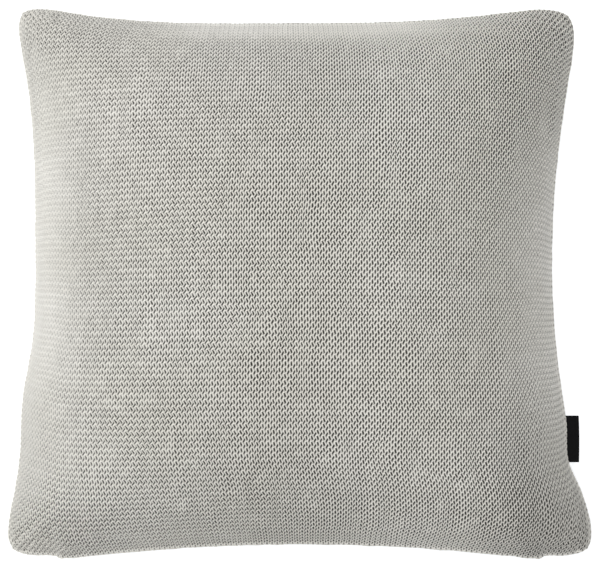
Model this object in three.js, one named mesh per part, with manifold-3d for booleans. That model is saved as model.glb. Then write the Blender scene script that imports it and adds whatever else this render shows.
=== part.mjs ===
// Throw pillow: a chunky knit cover with a zip in its bottom seam, and a fibre-filled insert inside it.
// It lies on its rear face. Millimetres, +Z up out of the front face, +Y towards the top edge, +X right.
// The origin is on the floor, below the middle of the cushion.
import * as THREE from 'three';
import { mergeVertices } from 'three/addons/utils/BufferGeometryUtils.js';
import Module from 'manifold-3d';

const wasm = await Module();
wasm.setup();

// ---- Cover outline, in plan ----
// Each edge runs between two corners, and its sag draws it in at the middle.
const CORNER_X = { topLeft: -243, topRight: 238, bottomLeft: -250, bottomRight: 251.25 };
const TOP_CORNER_Y = 238.75;
const BOTTOM_MIDDLE_Y = -220;
const LEFT_SAG = 20;
const RIGHT_SAG = 26;
const TOP_SAG = 17;
const SEAM_ARC_RADIUS = 1545; // the bottom seam is an arc of this radius, centred below the cushion
const CORNER_CUT = 0.033; // how far a blunt corner is drawn in, as a share of its distance out
const CORNER_POWER = (1 - CORNER_CUT) / CORNER_CUT;
const HALF_SPAN = 236; // mean distance from the middle to an edge
const BORDER_STEPS = 15; // points along each edge

// ---- Cushion section ----
const SEAM_Z = 74; // height of the seam plane above the floor
const FRONT_RISE = 88; // front panel's crown above the seam plane
const REAR_RISE = 79; // rear panel's crown below it, before the floor flattens it
const CROWN_POWER = 2.6;
const SEAM_GAP = 0.3; // between the two panels, face to face
const KNIT = 3; // thickness of the knit
const ALLOWANCE = { width: 10, t: 2.4 }; // seam allowance, turned inwards
const OVERLOCK = { from: 10.4, to: 11.6 }; // thread bound round the allowances, as insets

// ---- Insert ----
const CASING = { edge: 16, clear: 1.5, t: 1.2 };
const INSERT_SEAM = { from: 14, to: 15.6, height: 2.4 };
const FILLING_CLEAR = 1;

// ---- Zip, in the bottom seam: insets from the seam's edge, and heights from the seam plane ----
const OPENING = { half: 202, halfZ: 3.8, depth: 15 };
const TAPE = { inset: 6, t: 0.7, from: 1, to: 10, half: 201 };
const COIL = { inset: 4, t: 1.7, from: 0.5, to: 2.4, half: 189 };
const STOP = { at: 191.6, half: 1.2, front: [3.6, 5.6], back: [7, 7.8], reach: 2.6, web: [0.25, 0.7] };
const SLIDER = { at: -183, length: 9, halfZ: 3.4, outer: [2.4, 3.4], inner: [7.2, 8.2] };
const SLIDER_LIP = { z: [2.8, 3.4], to: 5.6 };
const SLIDER_POST = { length: 2.5, halfZ: 0.2, offset: -3 };
const BRIDGE = { halfZ: 0.9, from: 1.4, to: 2.2, top: [0.3, 0.8] };
const PULLER = { pinInset: 1.5, pinR: 0.4, t: 1, armZ: [1.5, 2.5], halfZ: 2.6, tabFrom: 4, reach: 16.5 };

// ---- Side label, sewn into the right-hand seam ----
const LABEL = { at: -0.571, height: 39.5, topReach: 10.9, bottomReach: 6.8, bow: 0.8, t: 1 };
const LABEL_TILT = THREE.MathUtils.degToRad(6); // the seam's lean there, from +Y towards -X
const LABEL_ROOT = { tuck: 2.2, r: 0.8 };
const LABEL_SWING = THREE.MathUtils.degToRad(40);
const POCKET = { clear: 0.45, reach: 8 };

const KNIT_GREY = 0xcac8c1;
const THREAD_GREY = 0xdedcd4;
const TAPE_GREY = 0xc4c1b8;
const COIL_GREY = 0xd2cfc6;
const METAL_GREY = 0xa7a69f;
const LABEL_BLACK = 0x171717;
const CASING_WHITE = 0xf2f1ed;
const FIBRE_WHITE = 0xfbfbf8;

// ---- Outline and crown ----
// Place in plan of a point (s, t) of a panel, where s and t run from -1 to 1 across it.
function onPanel(s, t) {
  const up = (1 + t) / 2;
  const right = (1 + s) / 2;
  const drawIn = 1 - t * t;
  const left = THREE.MathUtils.lerp(CORNER_X.bottomLeft, CORNER_X.topLeft, up) + LEFT_SAG * drawIn;
  const far = THREE.MathUtils.lerp(CORNER_X.bottomRight, CORNER_X.topRight, up) - RIGHT_SAG * drawIn;
  const x = THREE.MathUtils.lerp(left, far, right) * (1 - CORNER_CUT * Math.abs(t) ** CORNER_POWER);
  const top = TOP_CORNER_Y - TOP_SAG * (1 - s * s);
  const bottom = BOTTOM_MIDDLE_Y - (x * x) / (2 * SEAM_ARC_RADIUS);
  const y = THREE.MathUtils.lerp(bottom, top, up) * (1 - CORNER_CUT * Math.abs(s) ** CORNER_POWER);
  return new THREE.Vector2(x, y);
}

function crown(s, t) {
  return Math.sqrt((1 - Math.abs(s) ** CROWN_POWER) * (1 - Math.abs(t) ** CROWN_POWER));
}

// Points round the border of the (s, t) square, anticlockwise, closer together towards its corners.
function squareBorder() {
  const along = Array.from({ length: BORDER_STEPS }, (_, i) => Math.sin((i / BORDER_STEPS - 0.5) * Math.PI));
  return [
    ...along.map((a) => [a, -1]),
    ...along.map((a) => [1, a]),
    ...along.map((a) => [-a, 1]),
    ...along.map((a) => [-1, -a]),
  ];
}

const BORDER = squareBorder();

function ring(inset, height) {
  const share = 1 - inset / HALF_SPAN;
  return BORDER.map(([s, t]) => {
    const plan = onPanel(s * share, t * share);
    return new THREE.Vector3(plan.x, plan.y, height(s, t));
  });
}

// Rings of one face of a panel, from its apex out to its edge. They crowd together where the side is steep.
// A dome has its edge's inset and lift from the seam plane, its rise at the apex, and its lowest height.
function domeRings(side, dome, count) {
  const rings = [];
  for (let i = 0; i < count; i += 1) {
    const out = 1 - (i / count) ** 2;
    const inset = HALF_SPAN - (HALF_SPAN - dome.edge) * out;
    rings.unshift(ring(inset, (s, t) => domeHeight(side, dome, s * out, t * out)));
  }
  return rings;
}

function domeHeight(side, dome, s, t) {
  return Math.max(SEAM_Z + side * (dome.lift + (dome.rise - dome.lift) * crown(s, t)), dome.lowest);
}

function apex(side, dome) {
  const middle = onPanel(0, 0);
  return new THREE.Vector3(middle.x, middle.y, domeHeight(side, dome, 0, 0));
}

// Closed solid through rings that go round the same way, with a single point capping each end.
function solidFromRings(first, rings, last) {
  const n = BORDER.length;
  const points = [first, ...rings.flat(), last];
  const lastRing = points.length - 1 - n;
  const index = [];
  for (let i = 0; i < n; i += 1) {
    const j = (i + 1) % n;
    index.push(0, 1 + i, 1 + j);
    for (let a = 1; a < lastRing; a += n) {
      const b = a + n;
      index.push(a + i, b + i, b + j, a + i, b + j, a + j);
    }
    index.push(points.length - 1, lastRing + j, lastRing + i);
  }
  const geometry = new THREE.BufferGeometry();
  geometry.setAttribute('position', new THREE.Float32BufferAttribute(points.flatMap((p) => p.toArray()), 3));
  geometry.setIndex(index);
  return geometry;
}

// Shell between two domes. Rings between their edges, if any, go from the outer one to the inner one.
function domeShell(side, outer, inner, between, counts) {
  const rings = [
    ...domeRings(side, outer, counts[0]),
    ...between,
    ...domeRings(side, inner, counts[1]).reverse(),
  ];
  if (side > 0) return solidFromRings(apex(side, outer), rings, apex(side, inner));
  return solidFromRings(apex(side, inner), rings.reverse(), apex(side, outer));
}

// ---- Joining and cutting ----
function toSolid(geometry) {
  const bare = geometry.clone();
  bare.deleteAttribute('normal');
  bare.deleteAttribute('uv');
  const merged = mergeVertices(bare, 1e-4);
  const vertProperties = new Float32Array(merged.attributes.position.array);
  const triVerts = new Uint32Array(merged.index.array);
  return new wasm.Manifold(new wasm.Mesh({ numProp: 3, vertProperties, triVerts }));
}

function toGeometry(solid) {
  const { vertProperties, triVerts } = solid.getMesh();
  const geometry = new THREE.BufferGeometry();
  geometry.setAttribute('position', new THREE.BufferAttribute(vertProperties, 3));
  geometry.setIndex(new THREE.BufferAttribute(triVerts, 1));
  return geometry;
}

function cut(geometry, ...tools) {
  return toGeometry(tools.map(toSolid).reduce((rest, tool) => rest.subtract(tool), toSolid(geometry)));
}

function join(...pieces) {
  return toGeometry(pieces.map(toSolid).reduce((whole, piece) => whole.add(piece)));
}

const pillow = new THREE.Group();

function addPiece(parent, name, geometry, color, roughness = 0.95, metalness = 0) {
  const mesh = new THREE.Mesh(geometry, new THREE.MeshStandardMaterial({ color, roughness, metalness }));
  mesh.name = name;
  parent.add(mesh);
}

// ---- Places along the zip ----
// The zip's frame is centred on its seam's arc: y runs out from there into the cushion, z is up.
const zip = new THREE.Group();
zip.position.set(0, BOTTOM_MIDDLE_Y - SEAM_ARC_RADIUS, SEAM_Z);
pillow.add(zip);

function arcStrip(half, inset, depth, zFrom, zTo) {
  const reach = half / SEAM_ARC_RADIUS;
  const low = SEAM_ARC_RADIUS + inset;
  const shape = new THREE.Shape();
  shape.absarc(0, 0, low, Math.PI / 2 - reach, Math.PI / 2 + reach, false);
  shape.absarc(0, 0, low + depth, Math.PI / 2 + reach, Math.PI / 2 - reach, true);
  const options = { depth: zTo - zFrom, bevelEnabled: false, curveSegments: 32 };
  return new THREE.ExtrudeGeometry(shape, options).translate(0, 0, zFrom);
}

// A box by its spans along the seam, in from the seam's edge and up.
function seamBox(x, inset, z) {
  const box = new THREE.BoxGeometry(x[1] - x[0], inset[1] - inset[0], z[1] - z[0]);
  return box.translate((x[0] + x[1]) / 2, SEAM_ARC_RADIUS + (inset[0] + inset[1]) / 2, (z[0] + z[1]) / 2);
}

// A group in the zip's frame at a place along the seam.
function along(distance) {
  const group = new THREE.Group();
  group.rotation.z = -distance / SEAM_ARC_RADIUS;
  zip.add(group);
  return group;
}

// ---- Side label's frame: x out of the seam, y along it, z up ----
function placeLabel(geometry) {
  const seat = onPanel(1, LABEL.at);
  return geometry.rotateZ(LABEL_TILT).translate(seat.x, seat.y, SEAM_Z);
}

// Room in the seam for the label's root, open outwards as far as the label swings.
function labelPocket() {
  const radius = LABEL_ROOT.r + POCKET.clear;
  const mouth = POCKET.reach * Math.tan(LABEL_SWING) + radius;
  const shape = new THREE.Shape();
  shape.absarc(0, 0, radius, Math.PI / 2, -Math.PI / 2, false);
  shape.lineTo(POCKET.reach, -mouth);
  shape.lineTo(POCKET.reach, mouth);
  const length = LABEL.height + 2 * POCKET.clear;
  const room = new THREE.ExtrudeGeometry(shape, { depth: length, bevelEnabled: false, curveSegments: 10 });
  room.rotateX(-Math.PI / 2).translate(-LABEL_ROOT.tuck, -length / 2, 0);
  return placeLabel(room);
}

// ---- Cover ----
function coverPanel(side, rise) {
  const turn = SEAM_GAP / 2 + ALLOWANCE.t;
  const outer = { edge: 0, lift: SEAM_GAP / 2, rise, lowest: 0 };
  const inner = { edge: KNIT, lift: turn, rise: rise - KNIT, lowest: KNIT };
  const allowance = [
    ring(ALLOWANCE.width, () => SEAM_Z + (side * SEAM_GAP) / 2),
    ring(ALLOWANCE.width, () => SEAM_Z + side * turn),
  ];
  const shell = domeShell(side, outer, inner, allowance, [11, 8]);
  const { half, halfZ, depth } = OPENING;
  const opening = arcStrip(half, -20, 20 + depth, -halfZ, halfZ).translate(...zip.position);
  return cut(shell, opening, labelPocket());
}

addPiece(pillow, 'front_cover_panel', coverPanel(1, FRONT_RISE), KNIT_GREY);
addPiece(pillow, 'rear_cover_panel', coverPanel(-1, REAR_RISE), KNIT_GREY);

// Flat band that follows the cover's outline between two insets, centred on the seam plane.
function seamBand(from, to, height) {
  const outline = (inset) => ring(inset, () => 0);
  const shape = new THREE.Shape(outline(from));
  shape.holes.push(new THREE.Path(outline(to)));
  const band = new THREE.ExtrudeGeometry(shape, { depth: height, bevelEnabled: false });
  return band.translate(0, 0, SEAM_Z - height / 2);
}

function overlockThread() {
  const loop = seamBand(OVERLOCK.from, OVERLOCK.to, 2 * ALLOWANCE.t + SEAM_GAP);
  const opening = new THREE.BoxGeometry(2 * OPENING.half, 80, 40).translate(0, BOTTOM_MIDDLE_Y, SEAM_Z);
  return cut(loop, opening);
}

addPiece(pillow, 'overlock_thread', overlockThread(), THREAD_GREY);

// ---- Insert ----
function insertCasing(side, rise) {
  const gap = KNIT + CASING.clear;
  const outer = { edge: CASING.edge, lift: SEAM_GAP / 2, rise: rise - gap, lowest: gap };
  const inner = {
    edge: CASING.edge + CASING.t,
    lift: SEAM_GAP / 2,
    rise: outer.rise - CASING.t,
    lowest: gap + CASING.t,
  };
  return domeShell(side, outer, inner, [], [7, 7]);
}

function fibreFilling() {
  const skin = KNIT + CASING.clear + CASING.t + FILLING_CLEAR;
  const edge = CASING.edge + CASING.t + FILLING_CLEAR;
  const top = { edge, lift: 0, rise: FRONT_RISE - skin, lowest: 0 };
  const bottom = { edge, lift: 0, rise: REAR_RISE - skin, lowest: skin };
  const below = domeRings(-1, bottom, 7).reverse().slice(1);
  return solidFromRings(apex(1, top), [...domeRings(1, top, 7), ...below], apex(-1, bottom));
}

addPiece(pillow, 'insert_casing_front', insertCasing(1, FRONT_RISE), CASING_WHITE);
addPiece(pillow, 'insert_casing_rear', insertCasing(-1, REAR_RISE), CASING_WHITE);
addPiece(pillow, 'insert_seam', seamBand(INSERT_SEAM.from, INSERT_SEAM.to, INSERT_SEAM.height), THREAD_GREY);
addPiece(pillow, 'fibre_filling', fibreFilling(), FIBRE_WHITE);

// ---- Zip tapes, coils and stops ----
// Spans given for the front side are turned over for the rear side.
function span(side, [from, to]) {
  return side > 0 ? [from, to] : [-to, -from];
}

function tapeSide(side, suffix) {
  const tape = arcStrip(TAPE.half, TAPE.inset, TAPE.t, ...span(side, [TAPE.from, TAPE.to]));
  const coil = arcStrip(COIL.half, COIL.inset, COIL.t, ...span(side, [COIL.from, COIL.to]));
  addPiece(zip, `zip_tape_${suffix}`, tape, TAPE_GREY);
  addPiece(zip, `zip_coil_${suffix}`, coil, COIL_GREY, 0.6);
  addPiece(along(-STOP.at), `zip_top_stop_${suffix}`, topStop(side), METAL_GREY, 0.35, 0.9);
}

// A clip over one tape's edge: a plate in front, a plate behind, and a web between them.
function topStop(side) {
  const x = [-STOP.half, STOP.half];
  const z = span(side, [STOP.web[0], STOP.reach]);
  const web = seamBox(x, [STOP.front[0], STOP.back[1]], span(side, STOP.web));
  return join(seamBox(x, STOP.front, z), seamBox(x, STOP.back, z), web);
}

function bottomStop() {
  const x = [-STOP.half, STOP.half];
  const z = [-STOP.reach, STOP.reach];
  const web = seamBox(x, [STOP.front[0], STOP.back[1]], [-STOP.web[1], STOP.web[1]]);
  return join(seamBox(x, STOP.front, z), seamBox(x, STOP.back, z), web);
}

tapeSide(1, 'front');
tapeSide(-1, 'rear');
addPiece(along(STOP.at), 'zip_bottom_stop', bottomStop(), METAL_GREY, 0.35, 0.9);

// ---- Slider: two plates on a post, lips that hold the coils, and the bridge that holds the puller ----
function sliderBody() {
  const x = [-SLIDER.length / 2, SLIDER.length / 2];
  const z = [-SLIDER.halfZ, SLIDER.halfZ];
  const { length, halfZ, offset } = SLIDER_POST;
  const post = seamBox(
    [offset - length / 2, offset + length / 2],
    [SLIDER.outer[0], SLIDER.inner[1]],
    [-halfZ, halfZ],
  );
  const lips = [1, -1].map((side) => seamBox(x, [SLIDER.outer[0], SLIDER_LIP.to], span(side, SLIDER_LIP.z)));
  const bridgeZ = [-BRIDGE.halfZ, BRIDGE.halfZ];
  const feet = [1, -1].map((end) => {
    return seamBox(span(end, [BRIDGE.from, BRIDGE.to]), [BRIDGE.top[0], SLIDER.outer[1]], bridgeZ);
  });
  const top = seamBox([-BRIDGE.to, BRIDGE.to], BRIDGE.top, bridgeZ);
  return join(seamBox(x, SLIDER.outer, z), seamBox(x, SLIDER.inner, z), post, ...lips, ...feet, top);
}

// A pin under the bridge, an arm at each end of it, and the tab that is pulled.
function puller() {
  const { pinInset, pinR, t, armZ, halfZ, tabFrom, reach } = PULLER;
  const inset = [pinInset - t / 2, pinInset + t / 2];
  const pin = new THREE.CylinderGeometry(pinR, pinR, 2 * armZ[1], 12).rotateX(Math.PI / 2);
  pin.translate(0, SEAM_ARC_RADIUS + pinInset, 0);
  const arms = [1, -1].map((side) => seamBox([-t / 2, tabFrom + t], inset, span(side, armZ)));
  const outline = new THREE.Shape();
  outline.moveTo(tabFrom, -halfZ);
  outline.absarc(reach - halfZ, 0, halfZ, -Math.PI / 2, Math.PI / 2, false);
  outline.lineTo(tabFrom, halfZ);
  const tab = new THREE.ExtrudeGeometry(outline, { depth: t, bevelEnabled: false, curveSegments: 10 });
  tab.rotateX(-Math.PI / 2).translate(0, SEAM_ARC_RADIUS + inset[0], 0);
  return join(pin, ...arms, tab);
}

addPiece(along(SLIDER.at), 'zip_slider', sliderBody(), METAL_GREY, 0.35, 0.9);
addPiece(along(SLIDER.at), 'zip_puller', puller(), METAL_GREY, 0.35, 0.9);

// ---- Side label: a folded strip with a thicker root inside the seam ----
function sideLabel() {
  const half = LABEL.height / 2;
  const flap = new THREE.Shape();
  flap.moveTo(-LABEL_ROOT.tuck, -half);
  flap.lineTo(LABEL.bottomReach, -half);
  const middle = (LABEL.bottomReach + LABEL.topReach) / 2 + 2 * LABEL.bow;
  flap.quadraticCurveTo(middle, 0, LABEL.topReach, half);
  flap.lineTo(-LABEL_ROOT.tuck, half);
  const sheet = new THREE.ExtrudeGeometry(flap, { depth: LABEL.t, bevelEnabled: false, curveSegments: 10 });
  sheet.translate(0, 0, -LABEL.t / 2);
  const root = new THREE.CylinderGeometry(LABEL_ROOT.r, LABEL_ROOT.r, LABEL.height, 16);
  root.translate(-LABEL_ROOT.tuck, 0, 0);
  return placeLabel(join(sheet, root));
}

addPiece(pillow, 'side_label', sideLabel(), LABEL_BLACK, 0.85);

export default pillow;
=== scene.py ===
import math

import bpy
import numpy as np
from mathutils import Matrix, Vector


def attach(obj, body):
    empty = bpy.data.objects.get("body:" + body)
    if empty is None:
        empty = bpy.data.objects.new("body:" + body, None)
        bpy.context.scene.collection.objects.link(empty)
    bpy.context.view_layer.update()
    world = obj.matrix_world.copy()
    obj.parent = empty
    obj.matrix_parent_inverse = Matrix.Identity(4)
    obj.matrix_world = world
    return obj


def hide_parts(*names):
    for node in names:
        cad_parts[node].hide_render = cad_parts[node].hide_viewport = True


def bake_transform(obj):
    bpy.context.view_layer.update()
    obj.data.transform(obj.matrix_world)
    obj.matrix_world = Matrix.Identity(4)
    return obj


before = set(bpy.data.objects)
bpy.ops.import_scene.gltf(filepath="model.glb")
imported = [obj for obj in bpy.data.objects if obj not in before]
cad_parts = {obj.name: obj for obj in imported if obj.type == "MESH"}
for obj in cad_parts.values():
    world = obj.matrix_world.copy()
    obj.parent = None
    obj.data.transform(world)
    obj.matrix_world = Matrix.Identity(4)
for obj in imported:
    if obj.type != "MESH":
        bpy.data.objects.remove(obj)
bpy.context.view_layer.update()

# A throw pillow lying on its rear face: a chunky knit cover with a zip in its bottom seam and a folded label
# in its right-hand seam, round a fibre-filled insert. Lengths are in millimetres here, and metres in the
# meshes, lights and camera.
MM = 0.001
TURN = 2 * math.pi
RNG = np.random.default_rng(11)

# ---- Cover outline, in plan ----
CORNER_X = {"top_left": -250.0, "top_right": 241.5, "bottom_left": -254.0, "bottom_right": 254.5}
TOP_CORNER_Y = {"left": 245.5, "right": 242.0}
BOTTOM_MIDDLE_Y = -220.0
# How far an edge is drawn in at its middle, and how much more towards its top or right end, then the power of
# the curve, and how much more towards that end.
LEFT_SAG = (27.0, -3.0, 3.1, 0.9)
RIGHT_SAG = (33.5, -4.2, 2.0, 0.0)
TOP_SAG = (19.3, -3.0, 3.2, -0.6)
# Waves in the side seams: which side, how far along +x, at what y, and over what length. The first is where
# the label draws its seam in.
WAVES = ((1, -5.8, -148.0, 24.0), (-1, -7.0, -100.0, 45.0))
BOTTOM_LIFT = 0.8  # of the cover's edge over the zip's own line
PAST_ZIP = (4.2, 192.0, 20.0)  # how much more past the zip's ends, from where, and over what length
SEAM_ARC = 1545.0  # radius of the bottom seam
CORNER_CUT = 0.05
CORNER_POWER = 1 / CORNER_CUT - 1  # the power that leaves no kink at the corner
HALF_SPAN = 236.0  # of the cover, to turn the lip's width into a share of the outline's square

# ---- Section ----
SEAM_Z = 74.0
START_RISE = {1: 75.0, -1: 68.0}  # before the cloth is blown up
CROWN_POWER = 2.6
PRESSURE = 40.0
CLOTH_CELLS = 56
CLOTH_FRAMES = 20
CELLS_CLOSE_UP = 0.4  # how strongly the cloth's cells close up towards the seam, from 0 to under 0.5
FLOOR_CLEAR = 1.3
FLOOR_SOFTNESS = 0.8

# ---- Seam lip: how far out each ring is from the foot of the dome, and its height from the seam plane ----
LIP = 1.4
LIP_FOOT = 2.4
LIFT_FADE = 8  # height over which the foot's lift fades out
GAPE_FADE = 30  # and the openings for the zip and the label
LIP_RINGS = ((0.6, 1.9), (1.1, 1.4), (1.4, 0.8), (1.1, 0.3))
ZIP_NUB = 1.3

# ---- Knit ----
WALE = 4.4  # width of a stitch
COURSE = 5.08  # height of a row
PER_STITCH = 4  # mesh points to a stitch, each way
YARN = 0.5  # relief of the yarn over the fabric's mean face
STRAND = 0.3  # rise of one half of each strand, and dip of the other
SLOT = 1.9  # deepest gap in a stitch
SLOT_LENGTH = 0.9  # the higher, the longer the slots
GROOVE = 0.5  # between the stretched rows on the flanks
FUZZ = 0.06  # random relief
KNIT_T = 3.2
# How the stitches change across a panel: places from -1 at the left to 1 at the right, and the values there.
LEAN = ((-1, -0.6, -0.2, 0, 0.35, 0.6, 1), (0.18, 0.18, 0.13, 0.09, 0.06, 0.05, 0.06))
SLOT_DEPTH = ((-1, -0.8, -0.4, 0, 1), (0.52, 0.66, 0.88, 1, 1))
SLOT_POWER = ((-1, 0, 0.6, 1), (2.2, 2.2, 1.9, 1.4))
LATENESS = ((-1, -0.5, 0, 0.6, 1), (0.16, 0.14, 0.10, 0.03, 0.05))
# The stretched flanks, in shares of half a panel. For the left and the right: where along its edge each is
# centred, how far from there it begins to fade, and over what length, then how far out it comes in.
LEFT_FLANK = (0.1, 0.25, 0.55, 0.68)
RIGHT_FLANK = (-0.15, 0.5, 0.5, 0.70)
RIGHT_LATER = (0.1, 0.4, 0.3)  # how much further out the right one starts near the top, from where, over what
FLANK_WIDTH = 0.3
TOP_FLANK = (0.82, 0.12)  # how far up it comes in, and over what length
TOP_FLANK_FADE = (0.3, 0.4)  # the same outwards along the edge
FLANK_SHALLOWER = {"left": 0.75, "right": 0.62, "top": 0.68}
FLANK_GROOVES = {"left": 0.18, "right": 0.9, "top": 0.6}
PACKED_SHADED_CORNER = ((0.5, 0.3), (0.15, 0.65))  # from where to the right, and down, and over what lengths
# painted shade added to the yarn in the lower right corner
PAINTED_CORNER_SHADE = 0.15
GROOVE_SHADE = 0.18
# Unevenness: its size, and its patches up and across a panel.
LEAN_PATCHES = ((0.18, (12, 12)), (0.025, (36, 30)))
DEPTH_PATCHES = (0.03, (30, 40))
WANDER_PATCHES = ((0.10, (14, 40)), (0.06, (50, 30)))
STITCH_TO_STITCH = {"lean": 0.02, "depth": 0.08}
LIP_SHADE = ((-230, 0, 230), (0.06, 0.18, 0.16))  # how dark the seam's lip looks, by x

# ---- Zip, by distance along the bottom seam, inset from it and height from the seam plane ----
ZIP_HALF = 201.0
ZIP_GAPE = 3.85
GAPE_ENDS = (6, 9)  # how far past the zip the slot closes, and over what length
GAPE_DEPTH = (9, 40)  # how far in from the seam it begins to close, and over what length
ZIP_CENTRE_Y = BOTTOM_MIDDLE_Y - SEAM_ARC
TAPE_LINE = ((6.35, 0.35), (6.35, 2.2), (6.35, 3.3), (6.7, 3.95), (7.7, 4.3), (11.0, 4.4), (16.0, 4.4))
TAPE_HALF_T = 0.3
COIL_HALF = 189.0
COIL_PITCH = 1.35
COIL_WIRE = 0.3
COIL_CENTRE = (4.85, 1.3)  # inset, height
COIL_REACH = (0.8, 1.05)  # outer half width and half height of a turn
COIL_STEPS = 12  # to a turn

# ---- Side label ----
LABEL_Y = -130.8
LABEL_HEIGHT = 39.4
LABEL_OUT = 236.2
LABEL_IN = 221.0
LABEL_GAPE = 0.55

# ---- Insert: shares of the cover's plan and of its height ----
INSERT_SEAM = (0.937, 0.925)
CASING_OUTER = (0.935, 0.925)
CASING_INNER = (0.928, 0.905)
FILLING = (0.92, 0.885)
INSERT_STEP = 2 * PER_STITCH

# ---- Lights and camera: places in metres, the lens and its sensor in millimetres ----
LIGHT_TARGET = (0, 0, 0.07)
LENS = 110
SENSOR = 36
VIEW_WIDTH = 0.51
TILT = math.radians(3.5)
AIM_Z = SEAM_Z * MM


def lerp(a, b, share):
    return a + (b - a) * share


def smooth(x):
    x = np.clip(x, 0, 1)
    return x * x * (3 - 2 * x)


def ramp(x, start, length):
    """From 0 where x is start to 1 where x is length more."""
    return smooth((x - start) / length)


def sag(amount, along):
    """How far an edge is drawn in, along from -1 to 1 between its corners."""
    return (amount[0] + amount[1] * along) * (1 - np.abs(along) ** (amount[2] + amount[3] * along))


def on_panel(s, t):
    """Plan of a point of the outline's square, s and t from -1 to 1."""
    up, right = (1 + t) / 2, (1 + s) / 2
    left = lerp(CORNER_X["bottom_left"], CORNER_X["top_left"], up) + sag(LEFT_SAG, t)
    far = lerp(CORNER_X["bottom_right"], CORNER_X["top_right"], up) - sag(RIGHT_SAG, t)
    x = lerp(left, far, right) * (1 - CORNER_CUT * np.abs(t) ** CORNER_POWER)
    top = lerp(TOP_CORNER_Y["left"], TOP_CORNER_Y["right"], right) - sag(TOP_SAG, s)
    past = PAST_ZIP[0] * ramp(np.abs(x), PAST_ZIP[1], PAST_ZIP[2])
    bottom = BOTTOM_MIDDLE_Y + BOTTOM_LIFT - x * x / (2 * SEAM_ARC) + past
    y = lerp(bottom, top, up) * (1 - CORNER_CUT * np.abs(s) ** CORNER_POWER)
    for side, out, where, length in WAVES:
        x = x + out * (right if side > 0 else 1 - right) ** 4 * np.exp(-(((y - where) / length) ** 2))
    return x, y


# ---- Mesh helpers ----
def new_mesh(name, points, faces, smooth_faces=True):
    """An object from points in millimetres and a list of face index arrays, each array of one face size."""
    mesh = bpy.data.meshes.new(name)
    points = np.asarray(points, float) * MM
    groups = [np.asarray(f, np.int32) for f in faces if len(f)]
    sizes = np.concatenate([np.full(len(g), g.shape[1], np.int32) for g in groups])
    corners = np.concatenate([g.reshape(-1) for g in groups])
    starts = np.concatenate([[0], np.cumsum(sizes)[:-1]]).astype(np.int32)
    mesh.vertices.add(len(points))
    mesh.vertices.foreach_set("co", points.reshape(-1))
    mesh.loops.add(len(corners))
    mesh.loops.foreach_set("vertex_index", corners)
    mesh.polygons.add(len(sizes))
    mesh.polygons.foreach_set("loop_start", starts)
    mesh.polygons.foreach_set("use_smooth", np.full(len(sizes), smooth_faces))
    mesh.update(calc_edges=True)
    mesh.validate()
    obj = bpy.data.objects.new(name, mesh)
    bpy.context.scene.collection.objects.link(obj)
    return obj


def square(name, half, z):
    """A level square that reaches half each way from the middle."""
    corners = [(-half, -half, z), (half, -half, z), (half, half, z), (-half, half, z)]
    return new_mesh(name, corners, [[(0, 1, 2, 3)]])


def numbered(rows, columns, first=0):
    """A grid of point numbers."""
    return first + np.arange(rows * columns).reshape(rows, columns)


def grid_faces(index, flip=False):
    quads = np.stack([index[:-1, :-1], index[:-1, 1:], index[1:, 1:], index[1:, :-1]], -1).reshape(-1, 4)
    return quads[:, ::-1] if flip else quads


def border_loop(index):
    """A grid's border, anticlockwise from its first corner, each point once."""
    return np.concatenate([index[0, :-1], index[:-1, -1], index[-1, :0:-1], index[:0:-1, 0]])


def patchy(shape, cells, rng):
    """Smooth noise of about unit size, with cells patches along each side."""
    coarse = rng.normal(0, 1, (cells[0] + 3, cells[1] + 3))

    def stretch(values, n, count):
        at = np.linspace(0, count, n)
        low = np.minimum(at.astype(int), count)
        f = smooth(at - low)[:, None]
        return values[low] * (1 - f) + values[low + 1] * f

    return stretch(stretch(coarse, shape[0], cells[0]).T, shape[1], cells[1]).T


# ---- The pillow's form, blown up as cloth ----
def start_form():
    """The two panels' places before they are blown up, as grids."""
    even_spread = np.linspace(-1, 1, CLOTH_CELLS + 1)
    spread = np.sin(even_spread * CELLS_CLOSE_UP * math.pi) / math.sin(CELLS_CLOSE_UP * math.pi)
    s, t = np.meshgrid(spread, spread)
    share = 1 - LIP / HALF_SPAN
    x, y = on_panel(s * share, t * share)
    crown = np.sqrt((1 - np.abs(s) ** CROWN_POWER) * (1 - np.abs(t) ** CROWN_POWER))
    return {side: np.stack([x, y, SEAM_Z + side * START_RISE[side] * crown], -1) for side in (1, -1)}


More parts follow.
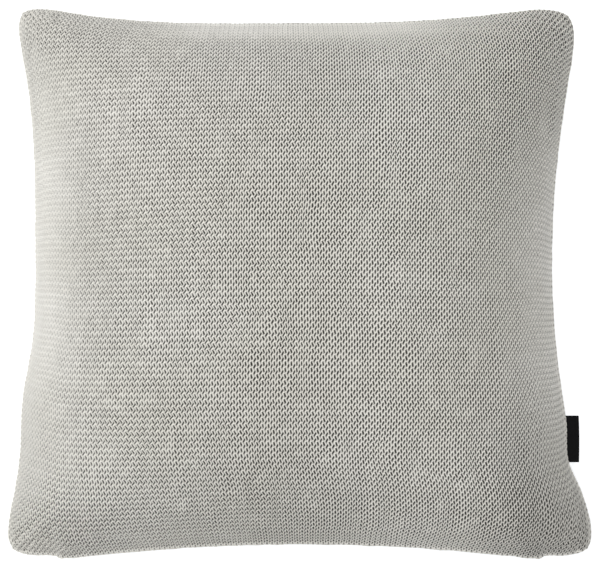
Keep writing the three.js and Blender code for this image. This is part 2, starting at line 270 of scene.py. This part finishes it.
def blow_up(form):
    """Runs the two panels, joined along a pinned border, as cloth under pressure on the floor."""
    n = CLOTH_CELLS + 1
    front = numbered(n, n)
    inside = np.zeros((n, n), bool)
    inside[1:-1, 1:-1] = True
    rear = np.where(inside, 0, front)
    rear[inside] = n * n + np.arange(inside.sum())
    points = np.concatenate([form[1].reshape(-1, 3), form[-1][inside]])
    cloth = new_mesh("cloth_form", points, [grid_faces(front), grid_faces(rear, flip=True)])
    pins = cloth.vertex_groups.new(name="seam")
    pins.add([int(i) for i in front[~inside]], 1.0, "REPLACE")
    cloth_mod = cloth.modifiers.new("cloth", "CLOTH")
    settings = cloth_mod.settings
    settings.quality = 8
    settings.mass = 0.02
    settings.tension_stiffness = 40
    settings.compression_stiffness = 4
    settings.shear_stiffness = 4
    settings.bending_model = "ANGULAR"
    settings.bending_stiffness = 0.3
    settings.tension_damping = settings.compression_damping = settings.shear_damping = 10
    settings.bending_damping = 1
    settings.air_damping = 4
    settings.use_pressure = True
    settings.uniform_pressure_force = PRESSURE
    settings.vertex_group_mass = "seam"
    settings.pin_stiffness = 50
    settings.effector_weights.gravity = 0
    cloth_mod.collision_settings.use_self_collision = False
    cloth_mod.collision_settings.distance_min = 0.001
    ground = square("cloth_ground", 900, 0)
    ground.modifiers.new("collision", "COLLISION")
    ground.collision.thickness_outer = 0.001
    scene = bpy.context.scene
    scene.frame_start, scene.frame_end = 1, CLOTH_FRAMES
    cloth_mod.point_cache.frame_end = CLOTH_FRAMES
    for number in range(1, CLOTH_FRAMES + 1):
        scene.frame_set(number)
    result = cloth.evaluated_get(bpy.context.evaluated_depsgraph_get()).to_mesh()
    moved = np.zeros(len(result.vertices) * 3, np.float32)
    result.vertices.foreach_get("co", moved)
    moved = moved.reshape(-1, 3).astype(float) / MM
    for obj in (cloth, ground):
        bpy.data.objects.remove(obj, do_unlink=True)
    scene.frame_set(1)
    return {1: moved[front], -1: moved[rear]}


def spline(values, n):
    """Values along the first axis, resampled to n points on a smooth curve through them."""
    at = np.linspace(0, len(values) - 1, n)
    low = np.minimum(at.astype(int), len(values) - 2)
    f = (at - low).reshape(-1, *([1] * (values.ndim - 1)))
    last = len(values) - 1
    a, b, c, d = (values[np.clip(low + k, 0, last)] for k in (-1, 0, 1, 2))
    return b + 0.5 * f * (c - a + f * (2 * a - 5 * b + 4 * c - d + f * (3 * (b - c) + d - a)))


def even(lines, n):
    """Each line of points, along the first axis, resampled to n points evenly spaced along it."""
    steps = np.linalg.norm(np.diff(lines, axis=0), axis=-1)
    length = np.concatenate([np.zeros((1, steps.shape[1])), np.cumsum(steps, 0)])
    out = np.empty((n, lines.shape[1], 3))
    for k in range(lines.shape[1]):
        at = np.linspace(0, length[-1, k], n)
        for axis in range(3):
            out[:, k, axis] = np.interp(at, length[:, k], lines[:, k, axis])
    return out


def stitched(panel, wales, courses):
    """The panel's mean face as a grid with PER_STITCH points to a stitch: rows go up, columns go right."""
    fine = spline(panel, 8 * CLOTH_CELLS + 1)
    fine = spline(fine.transpose(1, 0, 2), 8 * CLOTH_CELLS + 1)
    across = even(fine, wales * PER_STITCH + 1)
    return even(across.transpose(1, 0, 2), courses * PER_STITCH + 1)


def arc(line):
    """The length of a line of points."""
    return float(np.linalg.norm(np.diff(line, axis=0), axis=-1).sum())


def normals_of(grid):
    n = np.cross(np.gradient(grid, axis=1), np.gradient(grid, axis=0))
    return n / np.linalg.norm(n, axis=-1, keepdims=True)


def zip_gape(points):
    """How far each point near the bottom seam is held off the seam plane, to leave the zip's slot open."""
    along = smooth((ZIP_HALF + GAPE_ENDS[0] - np.abs(points[..., 0])) / GAPE_ENDS[1])
    seam_y = BOTTOM_MIDDLE_Y - points[..., 0] ** 2 / (2 * SEAM_ARC)
    near = smooth(1 - (points[..., 1] - seam_y - GAPE_DEPTH[0]) / GAPE_DEPTH[1])
    return ZIP_GAPE * along * near


def label_gape(points):
    """How far each point near the label is held off the seam plane, to leave room for it."""
    past_end = np.abs(points[..., 1] - LABEL_Y) - LABEL_HEIGHT / 2
    return LABEL_GAPE * smooth(1 - past_end / 8) * ramp(points[..., 0], 190, 20)


def settle(grid, side):
    """Lifts the face off the seam plane round its border, opens it at the zip, and rests it on the floor."""
    out = grid.copy()
    height = np.abs(out[..., 2] - SEAM_Z)
    gape = zip_gape(out) + label_gape(out)
    lift = LIP_FOOT * np.exp(-height / LIFT_FADE) + gape * np.exp(-height / GAPE_FADE)
    out[..., 2] += side * lift
    if side < 0:
        above = np.logaddexp(0, (out[..., 2] - FLOOR_CLEAR) / FLOOR_SOFTNESS)
        out[..., 2] = FLOOR_CLEAR + above * FLOOR_SOFTNESS
    return out


def flanks(s, t):
    """How far each point is out on the stretched flanks of the side edges, and of the top edge."""
    pairs = zip(LEFT_FLANK, RIGHT_FLANK, strict=True)
    centre, fade_start, fade_length, start = (np.where(s < 0, left, right) for left, right in pairs)
    later, *where = RIGHT_LATER
    start = np.where(s < 0, start, start + later * ramp(t, *where))
    side = ramp(np.abs(s), start, FLANK_WIDTH) * (1 - ramp(np.abs(t - centre), fade_start, fade_length))
    top = ramp(t, *TOP_FLANK) * (1 - ramp(np.abs(s), *TOP_FLANK_FADE))
    return side, top


def packed_and_shaded(s, t):
    """How far each point is into the lower right corner, where slots are shallower and painted shade makes
    the yarn darker.
    """
    rightwards, downwards = PACKED_SHADED_CORNER
    return ramp(s, *rightwards) * ramp(-t, *downwards)


def knit_fields(shape, s, t, rng):
    """How the stitches vary over a panel: the slots' lean and depth, how far one of each pair of slots is
    behind the other along its column, and how the columns wander. The lean and the wander are in stitches."""
    left_corners = ramp(-s, 0.45, 0.35) * ramp(np.abs(t), 0.62, 0.28)
    depth = np.interp(s, *SLOT_DEPTH)
    depth = depth * (1 + 0.42 * left_corners) * (1 - 0.12 * ramp(t, 0.5, 0.4)) * (1 - 0.2 * packed_and_shaded(s, t))
    side, top = flanks(s, t)
    shallower = np.where(s < 0, FLANK_SHALLOWER["left"], FLANK_SHALLOWER["right"])
    depth = depth * (1 - shallower * side) * (1 - FLANK_SHALLOWER["top"] * top)
    rows, columns = shape
    stitch = rng.normal(0, 1, (rows // PER_STITCH + 2, columns // PER_STITCH + 2))
    each = stitch.repeat(PER_STITCH, 0).repeat(PER_STITCH, 1)[:rows, :columns]

    def uneven(size, cells):
        return size * patchy(shape, cells, rng)

    lean = np.interp(s, *LEAN) * (1 + uneven(*LEAN_PATCHES[0]))
    lean = lean + uneven(*LEAN_PATCHES[1]) + STITCH_TO_STITCH["lean"] * each
    depth = depth * (1 + uneven(*DEPTH_PATCHES) + STITCH_TO_STITCH["depth"] * each)
    wander = uneven(*WANDER_PATCHES[0]) + uneven(*WANDER_PATCHES[1])
    return lean, np.clip(depth, 0.1, 1.1), np.interp(s, *LATENESS), wander


def knit(grid, side, rng):
    """The outer face with its stitches, the painted shade of each point, and the mean face's normals. The
    painted shade is mostly a point's depth in a slot."""
    rows, columns = grid.shape[:2]
    u, v = np.meshgrid(np.arange(columns) / PER_STITCH, np.arange(rows) / PER_STITCH)
    s, t = np.meshgrid(np.linspace(-1, 1, columns), np.linspace(-1, 1, rows))
    lean, depth, late, wander = knit_fields((rows, columns), s, t, rng)
    down = -v + late * (1 - np.cos(TURN * u)) / 2
    ridge = np.abs(np.sin(TURN * u))
    slotted = np.cos(TURN * u)
    in_row = np.cos(TURN * down) * np.sign(slotted)
    along = np.clip((in_row + SLOT_LENGTH) / (1 + SLOT_LENGTH), 0, 1) ** 0.45
    pit = np.abs(slotted) ** np.interp(s, *SLOT_POWER) * along
    side_flank, top_flank = flanks(s, t)
    side_flank = side_flank * np.where(s < 0, FLANK_GROOVES["left"], FLANK_GROOVES["right"])
    groove = side_flank * np.clip(np.cos(TURN * v), 0, 1) ** 2
    groove = groove + FLANK_GROOVES["top"] * top_flank * np.clip(slotted, 0, 1) ** 2
    height = YARN * ridge + STRAND * np.sin(TURN * down) * ridge - SLOT * depth * pit - GROOVE * groove
    height += FUZZ * rng.normal(0, 1, height.shape)
    edge = np.minimum.reduce([u, v, u.max() - u, v.max() - v])
    shown = 0.35 + 0.65 * smooth(edge)
    sideways = (lean * np.sin(TURN * down) + wander) * smooth(edge / 1.5) * PER_STITCH
    normal = normals_of(grid) * side
    out = grid + normal * (height * shown)[..., None] + np.gradient(grid, axis=1) * sideways[..., None]
    # painted shade: the slots darkened by their depth, more towards the right and the bottom, plus painted
    # shade in the flank grooves and the lower right corner, less at the panel's border
    shade_gain_right_and_bottom = 1 + ramp(s, 0.5, 0.5) * (0.2 + 0.4 * smooth(t / 0.5)) + 0.08 * ramp(-t, 0.5, 0.5)
    painted_shade = pit * depth * shade_gain_right_and_bottom + GROOVE_SHADE * groove + PAINTED_CORNER_SHADE * packed_and_shaded(s, t)
    painted_shade = painted_shade * (0.7 + 0.3 * smooth(edge))
    return out, painted_shade, normal


def lip_rings(loop_points, side, rng):
    """Rings of points out from the foot of the dome, over the seam's lip and back under it."""
    ahead = np.roll(loop_points, -2, 0) - np.roll(loop_points, 2, 0)
    out = np.stack([ahead[:, 1], -ahead[:, 0]], -1)
    for _ in range(6):
        out = (np.roll(out, 1, 0) + out + np.roll(out, -1, 0)) / 3
    out /= np.linalg.norm(out, axis=-1, keepdims=True)
    count = len(loop_points)
    bead = np.cos(TURN * np.arange(count) / PER_STITCH)
    knots = np.arange(0, count + 8, 8)
    uneven = np.interp(np.arange(count), knots, rng.normal(0, 1, len(knots)))
    rings, painted_lip_shades = [], []
    for k, (reach, height) in enumerate(LIP_RINGS):
        ring = loop_points.copy()
        gap = (np.arange(count) + 2 * (k % 2)) % PER_STITCH == 0
        # painted shade on the lip: set by x, darker in the gaps between stitches, and uneven
        lip_shade_by_x = np.interp(ring[:, 0], *LIP_SHADE)
        pit = lip_shade_by_x * (1 + 1.1 * gap) * np.clip(rng.normal(0.9, 0.3, count), 0, 1.5)
        at_bottom = ring[:, 1] < -200
        nub = ZIP_NUB * np.exp(-(((np.abs(ring[:, 0]) - ZIP_HALF) / 3) ** 2)) * at_bottom
        ring[:, :2] += out * (reach + nub - 0.3 * gap + (0.3 * bead + 0.2 * uneven) * reach / LIP)[:, None]
        gape = zip_gape(ring) + label_gape(ring)
        ring[:, 2] = SEAM_Z + side * (height + 0.15 * bead * (height > 1) + gape)
        rings.append(ring)
        painted_lip_shades.append(pit)
    return rings, painted_lip_shades


def knit_panel(name, side, grid, rng):
    """A panel of the cover as one closed piece: knit outer face, seam lip, and a plain inner face."""
    grid = settle(grid, side)
    face, pit, normal = knit(grid, side, rng)
    rows, columns = grid.shape[:2]
    index = numbered(rows, columns)
    loop = border_loop(index)
    rings, painted_lip_shades = lip_rings(grid.reshape(-1, 3)[loop], side, rng)
    inner = grid[::PER_STITCH, ::PER_STITCH] - normal[::PER_STITCH, ::PER_STITCH] * KNIT_T
    floor_of_lip = 0.3 + zip_gape(inner) * 1.25 + label_gape(inner)
    inner[..., 2] = SEAM_Z + side * np.maximum(side * (inner[..., 2] - SEAM_Z), floor_of_lip)
    points = np.concatenate([face.reshape(-1, 3), *rings, inner.reshape(-1, 3)])
    ring_index = [loop, *numbered(len(rings), len(loop), rows * columns)]
    band = []
    for a, b in zip(ring_index, ring_index[1:], strict=False):
        band.append(np.stack([a, b, np.roll(b, -1), np.roll(a, -1)], -1))
    first_inner = rows * columns + len(rings) * len(loop)
    inner_index = numbered(*inner.shape[:2], first_inner)
    inner_loop = border_loop(inner_index)
    last = ring_index[-1].reshape(-1, PER_STITCH)
    following = np.roll(last[:, :1], -1, 0)
    hem = np.concatenate([last, following, np.roll(inner_loop, -1)[:, None], inner_loop[:, None]], 1)
    flip = side < 0
    faces = [grid_faces(index, flip), np.concatenate(band), hem, grid_faces(inner_index, not flip)]
    if flip:
        faces[1], faces[2] = faces[1][:, ::-1], faces[2][:, ::-1]
    obj = new_mesh(name, points, faces)
    # painted shade for each point, stored as the slot attribute: the knit face's, the lip's, and none on the
    # inner face
    depth = np.concatenate([pit.reshape(-1), *painted_lip_shades, np.zeros(inner.size // 3)])
    attribute = obj.data.attributes.new("slot", "FLOAT", "POINT")
    attribute.data.foreach_set("value", depth.astype(np.float32))
    stitch_map(obj, rows, columns, points)
    return obj


def stitch_map(obj, rows, columns, points):
    """A UV map in stitches, for the yarn's twist and the colour of whole rows."""
    uv = np.zeros((len(points), 2))
    u, v = np.meshgrid(np.arange(columns) / PER_STITCH, np.arange(rows) / PER_STITCH)
    uv[: u.size, 0], uv[: u.size, 1] = u.reshape(-1), v.reshape(-1)
    rest = points[u.size :]
    uv[u.size :, 0], uv[u.size :, 1] = rest[:, 0] / WALE, rest[:, 1] / COURSE
    layer = obj.data.uv_layers.new(name="stitches")
    corner = np.zeros(len(obj.data.loops), np.int32)
    obj.data.loops.foreach_get("vertex_index", corner)
    layer.data.foreach_set("uv", uv[corner].astype(np.float32).reshape(-1))


# ---- Materials ----
class Shader:
    """A material's nodes, with short ways to add and link them."""

    def __init__(self, name, **sockets):
        self.material = bpy.data.materials.new(name)
        self.material.use_nodes = True
        self.nodes = self.material.node_tree.nodes
        self.links = self.material.node_tree.links
        self.bsdf = self.nodes["Principled BSDF"]
        for socket, value in sockets.items():
            self.bsdf.inputs[socket.replace("_", " ")].default_value = value

    def add(self, kind, props=(), **inputs):
        node = self.nodes.new("ShaderNode" + kind)
        for key, value in dict(props).items():
            setattr(node, key, value)
        for key, value in inputs.items():
            name = key.replace("_", " ")
            socket = node.inputs[int(key[1:])] if key[0] == "i" and key[1:].isdigit() else node.inputs[name]
            if isinstance(value, bpy.types.NodeSocket):
                self.links.new(value, socket)
            else:
                socket.default_value = value
        return node

    def coords(self):
        return self.add("TexCoord").outputs["Object"]

    def noise(self, scale, detail=3.0, rough=0.5, vector=None):
        inputs = {"Scale": scale, "Detail": detail, "Roughness": rough}
        return self.add("TexNoise", Vector=vector or self.coords(), **inputs).outputs["Fac"]

    def bands(self, direction, vector, scale, distortion, **more):
        inputs = {"Vector": vector, "Scale": scale, "Distortion": distortion, **more}
        wave = self.add("TexWave", {"wave_type": "BANDS", "bands_direction": direction}, **inputs)
        return wave.outputs["Fac"]

    def math(self, operation, a, b):
        return self.add("Math", {"operation": operation}, i0=a, i1=b).outputs[0]

    def spread(self, value, low, high, to_low=0.0, to_high=1.0):
        inputs = {"Value": value, "From_Min": low, "From_Max": high, "To_Min": to_low, "To_Max": to_high}
        return self.add("MapRange", **inputs).outputs[0]

    def mix(self, factor, a, b, blend="MIX"):
        node = self.add("Mix", {"data_type": "RGBA", "blend_type": blend})
        for socket, value in ((node.inputs[0], factor), (node.inputs[6], a), (node.inputs[7], b)):
            if isinstance(value, bpy.types.NodeSocket):
                self.links.new(value, socket)
            else:
                socket.default_value = value
        return node.outputs[2]

    def colour(self, value):
        self.links.new(value, self.bsdf.inputs["Base Color"])

    def rough(self, value):
        self.links.new(value, self.bsdf.inputs["Roughness"])

    def bump(self, height, distance, strength=1.0):
        node = self.add("Bump", Height=height, Distance=distance, Strength=strength)
        self.links.new(node.outputs[0], self.bsdf.inputs["Normal"])


def linear(r, g, b):
    """A colour given as on a screen, 0 to 255."""
    return tuple(((c / 255 + 0.055) / 1.055) ** 2.4 for c in (r, g, b)) + (1.0,)


def knit_material():
    sh = Shader("knit_yarn", Roughness=0.92, Sheen_Weight=0.25, Sheen_Roughness=0.6, Specular_IOR_Level=0.2)
    stitches = sh.add("UVMap", {"uv_map": "stitches"}).outputs[0]
    cloudy = sh.noise(9.0, 2.0)
    melange = sh.noise(900.0, 2.0)
    base = sh.mix(sh.spread(cloudy, 0.35, 0.65), linear(233, 230, 221), linear(239, 236, 229))
    base = sh.mix(sh.spread(melange, 0.3, 0.7, 0.0, 0.3), base, linear(216, 211, 202))
    along_rows = sh.add("VectorMath", {"operation": "MULTIPLY"}, i0=stitches, i1=(0.02, 0.9, 1.0)).outputs[0]
    row = sh.noise(1.0, 1.0, vector=along_rows)
    base = sh.mix(sh.spread(row, 0.35, 0.65, 0.0, 0.12), base, linear(206, 200, 190))
    # painted shade: the slot attribute darkens the yarn towards near-black in the slots, the lip's gaps, the
    # flank grooves and the lower right corner
    slot = sh.add("Attribute", {"attribute_name": "slot"}).outputs["Fac"]
    dark = sh.spread(slot, 0.05, 0.58)
    sh.colour(sh.mix(dark, base, linear(44, 42, 37)))
    twist = sh.bands("DIAGONAL", stitches, 1.6, 1.5, Detail=2.0)
    fibre = sh.noise(1800.0, 2.0)
    sh.bump(sh.math("ADD", sh.math("MULTIPLY", twist, 0.5), fibre), 0.0004, 0.6)
    sh.rough(sh.spread(fibre, 0.3, 0.7, 0.85, 0.97))
    return sh.material


def thread_material():
    sh = Shader("thread", Roughness=0.8)
    wave = sh.bands("DIAGONAL", sh.coords(), 500.0, 1.0)
    sh.colour(sh.mix(wave, linear(214, 210, 200), linear(232, 229, 221)))
    sh.bump(wave, 0.0002, 0.6)
    sh.rough(sh.spread(wave, 0, 1, 0.7, 0.9))
    return sh.material


def woven_material(name, light, dark, threads, relief=0.00015, roughness=0.85):
    """A plain weave, with so many threads to a metre, that shows on faces turned any way."""
    sh = Shader(name, Roughness=roughness)
    at = sh.coords()
    across, down, upright = (sh.bands(axis, at, threads / 3.2, 0.4) for axis in "XYZ")
    weave = sh.math("MULTIPLY", sh.math("MAXIMUM", across, down), upright)
    weave = sh.math("ADD", weave, sh.math("MULTIPLY", sh.noise(60.0), 0.4))
    sh.colour(sh.mix(sh.spread(weave, 0.1, 1.1), dark, light))
    sh.bump(weave, relief, 0.7)
    sh.rough(sh.spread(weave, 0.1, 1.1, roughness - 0.08, roughness + 0.08))
    return sh.material


def metal_material():
    sh = Shader("zip_metal", Metallic=1.0, Roughness=0.35)
    worn = sh.noise(240.0, 4.0)
    sh.colour(sh.mix(sh.spread(worn, 0.35, 0.7), linear(176, 175, 170), linear(205, 204, 199)))
    sh.rough(sh.spread(worn, 0.3, 0.7, 0.24, 0.45))
    sh.bump(sh.noise(900.0), 0.00005, 0.3)
    return sh.material


def coil_material():
    sh = Shader("zip_coil", Roughness=0.4, Specular_IOR_Level=0.5)
    tone = sh.noise(300.0)
    sh.colour(sh.mix(tone, linear(203, 199, 190), linear(222, 219, 211)))
    sh.rough(sh.spread(tone, 0.3, 0.7, 0.32, 0.5))
    return sh.material


def label_material():
    sh = Shader("label_satin", Roughness=0.8, Specular_IOR_Level=0.12)
    ribs = sh.bands("Y", sh.coords(), 900.0, 0.6)
    lint = sh.noise(500.0, 4.0)
    base = sh.mix(ribs, linear(4, 4, 5), linear(14, 14, 15))
    sh.colour(sh.mix(sh.spread(lint, 0.62, 0.8, 0, 0.15), base, linear(60, 59, 57)))
    sh.bump(ribs, 0.0001, 0.5)
    sh.rough(sh.spread(lint, 0.3, 0.7, 0.72, 0.88))
    return sh.material


def fibre_material():
    sh = Shader("fibre", Roughness=0.95, Sheen_Weight=0.3)
    tuft = sh.noise(60.0, 6.0, 0.7)
    sh.colour(sh.mix(tuft, linear(236, 236, 232), linear(252, 252, 250)))
    sh.bump(tuft, 0.002, 0.8)
    sh.rough(sh.spread(tuft, 0.3, 0.7, 0.88, 0.98))
    return sh.material


def floor_material():
    sh = Shader("floor", Roughness=0.9, Emission_Color=(0.95, 0.98, 1, 1), Emission_Strength=0.45)
    sh.colour(sh.mix(sh.noise(3.0), linear(248, 248, 248), linear(252, 252, 252)))
    return sh.material


def dress(obj, material):
    obj.data.materials.clear()
    obj.data.materials.append(material)
    return obj


# ---- Cover ----
form = start_form()
form = blow_up(form)
MIDDLE = CLOTH_CELLS // 2
WALES = round(arc(form[1][MIDDLE]) / WALE)
COURSES = round(arc(form[1][:, MIDDLE]) / COURSE)
faces = {side: stitched(form[side], WALES, COURSES) for side in (1, -1)}
KNIT = knit_material()
knit_front = dress(knit_panel("knit_front", 1, faces[1], RNG), KNIT)
knit_rear = dress(knit_panel("knit_rear", -1, faces[-1], RNG), KNIT)
for piece, node in ((knit_front, "front_cover_panel"), (knit_rear, "rear_cover_panel")):
    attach(piece, "cushion")
    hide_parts(node)


# ---- Insert, inside the cover ----
def shrunk(side, shares, step):
    """The face of something inside the cover, as a coarse grid, at these shares of its plan and height."""
    plan, rise = shares
    grid = settle(faces[side], side)[::step, ::step].copy()
    grid[..., :2] *= plan
    grid[..., 2] = SEAM_Z + (grid[..., 2] - SEAM_Z) * rise
    return grid


def pillow_between(name, upper, lower):
    """A closed piece between two grids of one size, joined along their borders."""
    rows, columns = upper.shape[:2]
    top = numbered(rows, columns)
    bottom = top + rows * columns
    a, b = border_loop(top), border_loop(bottom)
    rim = np.stack([a, b, np.roll(b, -1), np.roll(a, -1)], -1)
    points = np.concatenate([upper.reshape(-1, 3), lower.reshape(-1, 3)])
    return new_mesh(name, points, [grid_faces(top), rim, grid_faces(bottom, True)])


def casing(name, side):
    """One side of the insert's cloth casing, a little creased."""
    outer = shrunk(side, CASING_OUTER, INSERT_STEP)
    inner = shrunk(side, CASING_INNER, INSERT_STEP)
    crease = 0.5 * patchy(outer.shape[:2], (14, 14), RNG)
    outer[..., 2] += side * (0.2 + crease * 0.3)
    inner[..., 2] -= side * 0.2
    return pillow_between(name, *((outer, inner) if side > 0 else (inner, outer)))


CASING_CLOTH = woven_material("insert_cloth", linear(244, 243, 239), linear(226, 224, 218), 1400)
for side, end in ((1, "front"), (-1, "rear")):
    node = f"insert_casing_{end}"
    piece = dress(casing(f"casing_{end}_cloth", side), CASING_CLOTH)
    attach(piece, "cushion")
    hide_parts(node)

fill_faces = {side: shrunk(side, FILLING, INSERT_STEP) for side in (1, -1)}
for side, grid in fill_faces.items():
    grid[..., 2] -= side * (0.8 + 0.5 * np.abs(patchy(grid.shape[:2], (20, 20), RNG)))
fibre = dress(pillow_between("fibre_stuffing", fill_faces[1], fill_faces[-1]), fibre_material())
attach(fibre, "cushion")
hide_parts("fibre_filling")


def tube(name, centres, radius, sides=6, closed=False):
    """A tube round a line of points, in millimetres."""
    centres = np.asarray(centres, float)
    if closed:
        ahead = np.roll(centres, -1, 0) - np.roll(centres, 1, 0)
    else:
        ahead = np.gradient(centres, axis=0)
    ahead /= np.linalg.norm(ahead, axis=-1, keepdims=True)
    up = np.cross(ahead, (0.13, 0.21, 0.97))
    up /= np.linalg.norm(up, axis=-1, keepdims=True)
    side = np.cross(ahead, up)
    turn = TURN * np.arange(sides) / sides
    ring = np.cos(turn)[None, :, None] * up[:, None] + np.sin(turn)[None, :, None] * side[:, None]
    points = centres[:, None] + ring * np.asarray(radius).reshape(-1, 1, 1)
    count = len(centres)
    index = numbered(count, sides)
    index = np.concatenate([index, index[:, :1]], 1)
    if closed:
        return new_mesh(name, points.reshape(-1, 3), [grid_faces(np.concatenate([index, index[:1]]))])
    caps = [index[:1, -2::-1], index[-1:, :-1]]
    return new_mesh(name, points.reshape(-1, 3), [grid_faces(index), *caps])


# The insert's seam, a line of thread round the casing.
seam_face = shrunk(1, INSERT_SEAM, PER_STITCH)
seam_loop = seam_face.reshape(-1, 3)[border_loop(numbered(*seam_face.shape[:2]))]
seam_loop[:, 2] = SEAM_Z
THREAD = thread_material()
insert_seam = dress(tube("insert_seam_thread", seam_loop, 1.1, 6, closed=True), THREAD)
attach(insert_seam, "cushion")
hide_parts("insert_seam")


# ---- Zip ----
def zip_point(along, inset, height):
    """A point of the zip, by its way along the bottom seam, in from it, and off the seam plane."""
    angle = np.asarray(along, float) / SEAM_ARC
    reach = SEAM_ARC + np.asarray(inset, float)
    x, y = reach * np.sin(angle), ZIP_CENTRE_Y + reach * np.cos(angle)
    return np.stack(np.broadcast_arrays(x, y, SEAM_Z + np.asarray(height, float)), -1)


def zip_tape(name, side):
    """The woven tape: up beside the coil, then folded in behind the lip of the cover."""
    line = np.array(TAPE_LINE)
    ahead = np.gradient(line, axis=0)
    ahead /= np.linalg.norm(ahead, axis=-1, keepdims=True)
    off = np.stack([-ahead[:, 1], ahead[:, 0]], -1) * TAPE_HALF_T
    section = np.concatenate([line + off, (line - off)[::-1]])
    stations = np.linspace(-ZIP_HALF, ZIP_HALF, 202)
    wave = 0.05 * np.sin(stations * 0.9)[:, None]
    points = zip_point(stations[:, None], section[None, :, 0] + wave, side * section[None, :, 1])
    count = len(section)
    index = numbered(len(stations), count)
    wrapped = np.concatenate([index, index[:, :1]], 1)
    caps = [index[:1, ::-1], index[-1:]]
    if side < 0:
        wrapped, caps = wrapped[:, ::-1], [index[:1], index[-1:, ::-1]]
    return new_mesh(name, points.reshape(-1, 3), [grid_faces(wrapped), *caps], smooth_faces=False)


def zip_coil(name, side):
    """One half of the coil: a wire wound in flattened turns, heads towards the other half."""
    turns = 2 * COIL_HALF / COIL_PITCH
    phase = np.linspace(0, TURN * turns, int(turns * COIL_STEPS) + 1)
    lag = 0.0 if side > 0 else math.pi
    along = -COIL_HALF + phase / TURN * COIL_PITCH
    inset = COIL_CENTRE[0] + (COIL_REACH[0] - COIL_WIRE) * np.sin(phase + lag)
    height = COIL_CENTRE[1] + (COIL_REACH[1] - COIL_WIRE) * np.cos(phase + lag)
    return tube(name, zip_point(along, inset, side * height), COIL_WIRE, 5)


TAPE_CLOTH = woven_material("zip_tape_cloth", linear(206, 203, 195), linear(170, 166, 157), 1100)
COIL_NYLON = coil_material()
for side, end in ((1, "front"), (-1, "rear")):
    for make, kind, material in ((zip_tape, "tape", TAPE_CLOTH), (zip_coil, "coil", COIL_NYLON)):
        piece = dress(make(f"zipper_{kind}_{end}", side), material)
        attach(piece, "cushion")
        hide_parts(f"zip_{kind}_{end}")

# The CAD's own small parts keep their shapes and get these materials.
METAL = metal_material()
METAL_NODES = ("zip_top_stop_front", "zip_top_stop_rear", "zip_bottom_stop", "zip_slider", "zip_puller")
for nodes, material in ((METAL_NODES, METAL), (("overlock_thread",), THREAD)):
    for node in nodes:
        for material_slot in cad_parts[node].material_slots:
            material_slot.material = material


# ---- Side label: a black woven strip, folded in half at its outer edge and caught in the seam ----
def label_cloth():
    """The label's strip, out along one face, round the fold and back, and then its inner side."""
    rows, steps = 25, 12
    v = np.linspace(-1, 1, rows)
    reach = np.linspace(LABEL_IN, LABEL_OUT - 0.5, steps)
    fold = [(LABEL_OUT - 0.15, 0.42), (LABEL_OUT, 0.15), (LABEL_OUT, -0.15), (LABEL_OUT - 0.15, -0.42)]
    path = [(x, 0.5) for x in reach] + fold + [(x, -0.5) for x in reach[::-1]]
    inner = [(x, z * 0.25) for x, z in path[::-1]]
    outline = np.array(path + [(min(x, LABEL_OUT - 0.45), z) for x, z in inner])
    x = outline[None, :, 0] - 0.35 * (v[:, None] ** 2) * ramp(outline[None, :, 0], 226, 10)
    y = LABEL_Y + v[:, None] * LABEL_HEIGHT / 2
    sway = 0.35 * np.sin(v[:, None] * 2.2 + 0.4) * ramp(x, 227, 9)
    z = SEAM_Z + outline[None, :, 1] + sway
    points = np.stack(np.broadcast_arrays(x, y, z), -1)
    index = numbered(rows, len(outline))
    wrapped = np.concatenate([index, index[:, :1]], 1)
    faces = [grid_faces(wrapped), index[:1, ::-1], index[-1:]]
    return new_mesh("label_cloth", points.reshape(-1, 3), faces, smooth_faces=False)


label = dress(label_cloth(), label_material())
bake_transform(label)
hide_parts("side_label")

# ---- Floor, light and camera ----
floor = dress(square("floor", 3000, -1), floor_material())


def softbox(name, place, side, power, colour):
    """A square light aimed at the middle of the cushion, in metres and watts."""
    light = bpy.data.lights.new(name, "AREA")
    light.shape = "RECTANGLE"
    light.size = light.size_y = side
    light.energy = power
    light.color = colour
    obj = bpy.data.objects.new(name, light)
    obj.location = place
    obj.rotation_euler = (Vector(place) - Vector(LIGHT_TARGET)).to_track_quat("Z", "Y").to_euler()
    bpy.context.scene.collection.objects.link(obj)


softbox("key", (-1.9, 0.5, 1.2), 1.0, 6.5, (0.94, 0.98, 1))
softbox("top", (-0.3, 0.12, 2.4), 1.6, 36.5, (1, 1, 1))
world = bpy.data.worlds.new("studio")
bpy.context.scene.world = world
world.use_nodes = True
background = world.node_tree.nodes["Background"]
background.inputs["Color"].default_value = (0.97, 0.985, 1, 1)
background.inputs["Strength"].default_value = 0.48

camera_data = bpy.data.cameras.new("camera")
camera_data.lens = LENS
camera_data.sensor_width = SENSOR
camera_data.clip_start = 0.01
camera = bpy.data.objects.new("camera", camera_data)
distance = VIEW_WIDTH * LENS / SENSOR
camera.location = (0, -distance * math.sin(TILT), AIM_Z + distance * math.cos(TILT))
camera.rotation_euler = (TILT, 0, 0)
bpy.context.scene.collection.objects.link(camera)
bpy.context.scene.camera = camera
bpy.context.scene.view_settings.view_transform = "Standard"
